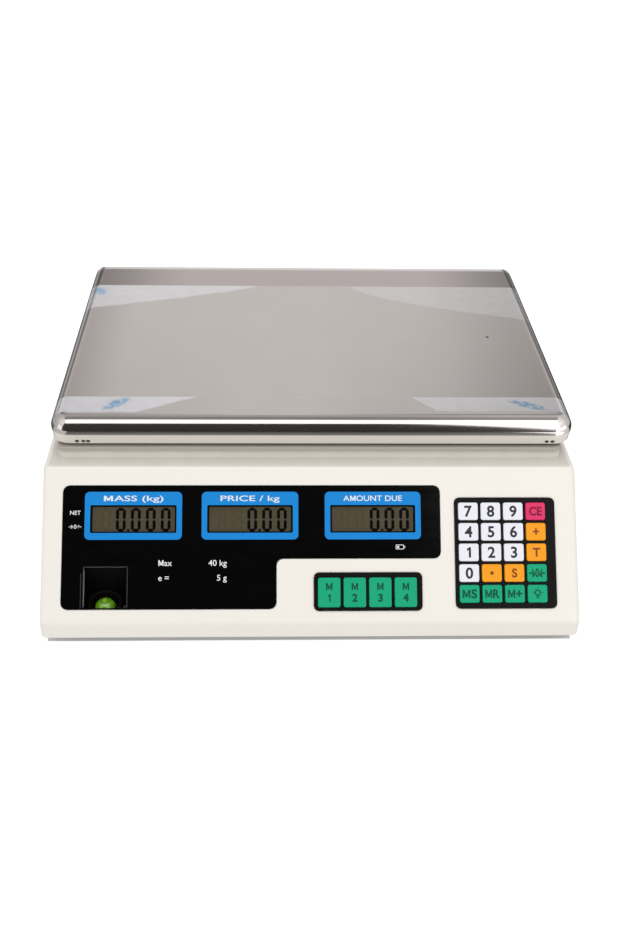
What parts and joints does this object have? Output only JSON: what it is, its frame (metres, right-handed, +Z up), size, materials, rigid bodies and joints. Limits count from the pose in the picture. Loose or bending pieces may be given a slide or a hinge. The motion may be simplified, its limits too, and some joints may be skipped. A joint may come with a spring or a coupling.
{
  "type": "retail price scale",
  "caption": "Counter-top price-computing scale: steel weighing pan on a moulded case, sloping console with displays, bubble level and keypads, levelling feet.",
  "frame": {"origin": "on the counter, under the middle of the case", "axes": "+Z up, +X to the operator's right, -Y towards the operator, whose console slopes down that way"},
  "size_m": [0.342, 0.325, 0.123],
  "materials": {
    "case_white": "warm white moulded ABS, fine texture",
    "tray_grey": "light grey moulded ABS",
    "steel": "polished stainless sheet with a faint satin grain",
    "overlay_black": "glossy black printed window sheet",
    "bezel_black": "black moulded plastic",
    "lcd": "olive grey reflective liquid-crystal glass",
    "key_white": "white moulded keycap",
    "key_pink": "pink moulded keycap",
    "key_orange": "orange moulded keycap",
    "key_green": "green moulded keycap",
    "silicone": "grey silicone",
    "board_green": "green circuit board",
    "aluminium": "milled aluminium",
    "cast_grey": "cast aluminium, grey",
    "rubber": "black rubber",
    "battery_case": "dark grey battery case",
    "vial_green": "green filled acrylic vial",
    "zinc": "zinc plated steel",
    "cable_grey": "grey cable sheath",
    "cable_red": "red lead insulation"
  },
  "bodies": {
    "root": {"top_housing": "case_white", "base_tray": "tray_grey", "display_lens": "overlay_black", "lcd_weight": "lcd", "lcd_unit_price": "lcd", "lcd_total_price": "lcd", "level_vial": "vial_green", "keypad_bezel": "bezel_black", "memory_key_bezel": "bezel_black", "key_mat": "silicone", "key_board": "board_green", "main_board": "board_green", "rear_lens": "overlay_black", "rear_display_module": "lcd", "load_cell": "aluminium", "battery": "battery_case", "battery_cover": "tray_grey", "power_inlet": "bezel_black", "power_switch_frame": "bezel_black", "load_cell_cable": "cable_grey", "battery_lead": "cable_red"},
    "platform": {"pan_support": "cast_grey", "pan_pad_1": "rubber", "pan_pad_2": "rubber", "pan_pad_3": "rubber", "pan_pad_4": "rubber"},
    "pan": {"pan": "steel"},
    "rocker": {"power_switch_rocker": "bezel_black"},
    "foot_pad_1": {"foot_pad_1": "rubber"},
    "foot_stem_1": {"foot_stem_1": "zinc"},
    "foot_pad_2": {"foot_pad_2": "rubber"},
    "foot_stem_2": {"foot_stem_2": "zinc"},
    "foot_pad_3": {"foot_pad_3": "rubber"},
    "foot_stem_3": {"foot_stem_3": "zinc"},
    "foot_pad_4": {"foot_pad_4": "rubber"},
    "foot_stem_4": {"foot_stem_4": "zinc"},
    "key_7": {"key_7": "key_white"},
    "key_8": {"key_8": "key_white"},
    "key_9": {"key_9": "key_white"},
    "key_clear": {"key_clear": "key_pink"},
    "key_4": {"key_4": "key_white"},
    "key_5": {"key_5": "key_white"},
    "key_6": {"key_6": "key_white"},
    "key_add": {"key_add": "key_orange"},
    "key_1": {"key_1": "key_white"},
    "key_2": {"key_2": "key_white"},
    "key_3": {"key_3": "key_white"},
    "key_tare": {"key_tare": "key_orange"},
    "key_0": {"key_0": "key_white"},
    "key_point": {"key_point": "key_orange"},
    "key_save": {"key_save": "key_orange"},
    "key_zero": {"key_zero": "key_green"},
    "key_memory_store": {"key_memory_store": "key_green"},
    "key_memory_recall": {"key_memory_recall": "key_green"},
    "key_memory_add": {"key_memory_add": "key_green"},
    "key_light": {"key_light": "key_green"},
    "key_m1": {"key_m1": "key_green"},
    "key_m2": {"key_m2": "key_green"},
    "key_m3": {"key_m3": "key_green"},
    "key_m4": {"key_m4": "key_green"}
  },
  "joints": [
    {"name": "platform_weigh", "type": "slide", "parent": "root", "child": "platform", "axis": [0, 0, -1], "range_m": [0, 0.0005], "stiffness_N_per_m": 785000, "springref_m": -0.00004, "deforming": ["load_cell"]},
    {"name": "pan_lift", "type": "slide", "parent": "platform", "child": "pan", "axis": [0, 0, 1], "range_m": [0, 0.06]},
    {"name": "power_switch", "type": "hinge", "parent": "root", "child": "rocker", "pos_m": [0.148, 0, 0.011], "axis": [0, 1, 0], "range_deg": [-18, 0]},
    {"name": "foot_1_turn", "type": "hinge", "parent": "foot_pad_1", "child": "foot_stem_1", "pos_m": [-0.14, -0.1255, 0.015], "axis": [0, 0, 1], "range_deg": [-600, 600]},
    {"name": "foot_1_height", "type": "slide", "parent": "root", "child": "foot_pad_1", "axis": [0, 0, 1], "range_m": [-0.0022, 0.0022]},
    {"name": "foot_2_turn", "type": "hinge", "parent": "foot_pad_2", "child": "foot_stem_2", "pos_m": [-0.14, 0.1305, 0.015], "axis": [0, 0, 1], "range_deg": [-600, 600]},
    {"name": "foot_2_height", "type": "slide", "parent": "root", "child": "foot_pad_2", "axis": [0, 0, 1], "range_m": [-0.0022, 0.0022]},
    {"name": "foot_3_turn", "type": "hinge", "parent": "foot_pad_3", "child": "foot_stem_3", "pos_m": [0.14, 0.1305, 0.015], "axis": [0, 0, 1], "range_deg": [-600, 600]},
    {"name": "foot_3_height", "type": "slide", "parent": "root", "child": "foot_pad_3", "axis": [0, 0, 1], "range_m": [-0.0022, 0.0022]},
    {"name": "foot_4_turn", "type": "hinge", "parent": "foot_pad_4", "child": "foot_stem_4", "pos_m": [0.14, -0.1255, 0.015], "axis": [0, 0, 1], "range_deg": [-600, 600]},
    {"name": "foot_4_height", "type": "slide", "parent": "root", "child": "foot_pad_4", "axis": [0, 0, 1], "range_m": [-0.0022, 0.0022]},
    {"name": "key_7_press", "type": "slide", "parent": "root", "child": "key_7", "axis": [0, 0.7485, -0.6631], "range_m": [0, 0.0015], "stiffness_N_per_m": 450, "springref_m": -0.0004},
    {"name": "key_8_press", "type": "slide", "parent": "root", "child": "key_8", "axis": [0, 0.7485, -0.6631], "range_m": [0, 0.0015], "stiffness_N_per_m": 450, "springref_m": -0.0004},
    {"name": "key_9_press", "type": "slide", "parent": "root", "child": "key_9", "axis": [0, 0.7485, -0.6631], "range_m": [0, 0.0015], "stiffness_N_per_m": 450, "springref_m": -0.0004},
    {"name": "key_clear_press", "type": "slide", "parent": "root", "child": "key_clear", "axis": [0, 0.7485, -0.6631], "range_m": [0, 0.0015], "stiffness_N_per_m": 450, "springref_m": -0.0004},
    {"name": "key_4_press", "type": "slide", "parent": "root", "child": "key_4", "axis": [0, 0.7485, -0.6631], "range_m": [0, 0.0015], "stiffness_N_per_m": 450, "springref_m": -0.0004},
    {"name": "key_5_press", "type": "slide", "parent": "root", "child": "key_5", "axis": [0, 0.7485, -0.6631], "range_m": [0, 0.0015], "stiffness_N_per_m": 450, "springref_m": -0.0004},
    {"name": "key_6_press", "type": "slide", "parent": "root", "child": "key_6", "axis": [0, 0.7485, -0.6631], "range_m": [0, 0.0015], "stiffness_N_per_m": 450, "springref_m": -0.0004},
    {"name": "key_add_press", "type": "slide", "parent": "root", "child": "key_add", "axis": [0, 0.7485, -0.6631], "range_m": [0, 0.0015], "stiffness_N_per_m": 450, "springref_m": -0.0004},
    {"name": "key_1_press", "type": "slide", "parent": "root", "child": "key_1", "axis": [0, 0.7485, -0.6631], "range_m": [0, 0.0015], "stiffness_N_per_m": 450, "springref_m": -0.0004},
    {"name": "key_2_press", "type": "slide", "parent": "root", "child": "key_2", "axis": [0, 0.7485, -0.6631], "range_m": [0, 0.0015], "stiffness_N_per_m": 450, "springref_m": -0.0004},
    {"name": "key_3_press", "type": "slide", "parent": "root", "child": "key_3", "axis": [0, 0.7485, -0.6631], "range_m": [0, 0.0015], "stiffness_N_per_m": 450, "springref_m": -0.0004},
    {"name": "key_tare_press", "type": "slide", "parent": "root", "child": "key_tare", "axis": [0, 0.7485, -0.6631], "range_m": [0, 0.0015], "stiffness_N_per_m": 450, "springref_m": -0.0004},
    {"name": "key_0_press", "type": "slide", "parent": "root", "child": "key_0", "axis": [0, 0.7485, -0.6631], "range_m": [0, 0.0015], "stiffness_N_per_m": 450, "springref_m": -0.0004},
    {"name": "key_point_press", "type": "slide", "parent": "root", "child": "key_point", "axis": [0, 0.7485, -0.6631], "range_m": [0, 0.0015], "stiffness_N_per_m": 450, "springref_m": -0.0004},
    {"name": "key_save_press", "type": "slide", "parent": "root", "child": "key_save", "axis": [0, 0.7485, -0.6631], "range_m": [0, 0.0015], "stiffness_N_per_m": 450, "springref_m": -0.0004},
    {"name": "key_zero_press", "type": "slide", "parent": "root", "child": "key_zero", "axis": [0, 0.7485, -0.6631], "range_m": [0, 0.0015], "stiffness_N_per_m": 450, "springref_m": -0.0004},
    {"name": "key_memory_store_press", "type": "slide", "parent": "root", "child": "key_memory_store", "axis": [0, 0.7485, -0.6631], "range_m": [0, 0.0015], "stiffness_N_per_m": 450, "springref_m": -0.0004},
    {"name": "key_memory_recall_press", "type": "slide", "parent": "root", "child": "key_memory_recall", "axis": [0, 0.7485, -0.6631], "range_m": [0, 0.0015], "stiffness_N_per_m": 450, "springref_m": -0.0004},
    {"name": "key_memory_add_press", "type": "slide", "parent": "root", "child": "key_memory_add", "axis": [0, 0.7485, -0.6631], "range_m": [0, 0.0015], "stiffness_N_per_m": 450, "springref_m": -0.0004},
    {"name": "key_light_press", "type": "slide", "parent": "root", "child": "key_light", "axis": [0, 0.7485, -0.6631], "range_m": [0, 0.0015], "stiffness_N_per_m": 450, "springref_m": -0.0004},
    {"name": "key_m1_press", "type": "slide", "parent": "root", "child": "key_m1", "axis": [0, 0.7485, -0.6631], "range_m": [0, 0.0015], "stiffness_N_per_m": 450, "springref_m": -0.0004},
    {"name": "key_m2_press", "type": "slide", "parent": "root", "child": "key_m2", "axis": [0, 0.7485, -0.6631], "range_m": [0, 0.0015], "stiffness_N_per_m": 450, "springref_m": -0.0004},
    {"name": "key_m3_press", "type": "slide", "parent": "root", "child": "key_m3", "axis": [0, 0.7485, -0.6631], "range_m": [0, 0.0015], "stiffness_N_per_m": 450, "springref_m": -0.0004},
    {"name": "key_m4_press", "type": "slide", "parent": "root", "child": "key_m4", "axis": [0, 0.7485, -0.6631], "range_m": [0, 0.0015], "stiffness_N_per_m": 450, "springref_m": -0.0004}
  ],
  "couplings": [
    {"joint": "foot_1_height", "follows": "foot_1_turn", "m_per_rad": 0.00019894},
    {"joint": "foot_2_height", "follows": "foot_2_turn", "m_per_rad": 0.00019894},
    {"joint": "foot_3_height", "follows": "foot_3_turn", "m_per_rad": 0.00019894},
    {"joint": "foot_4_height", "follows": "foot_4_turn", "m_per_rad": 0.00019894}
  ]
}
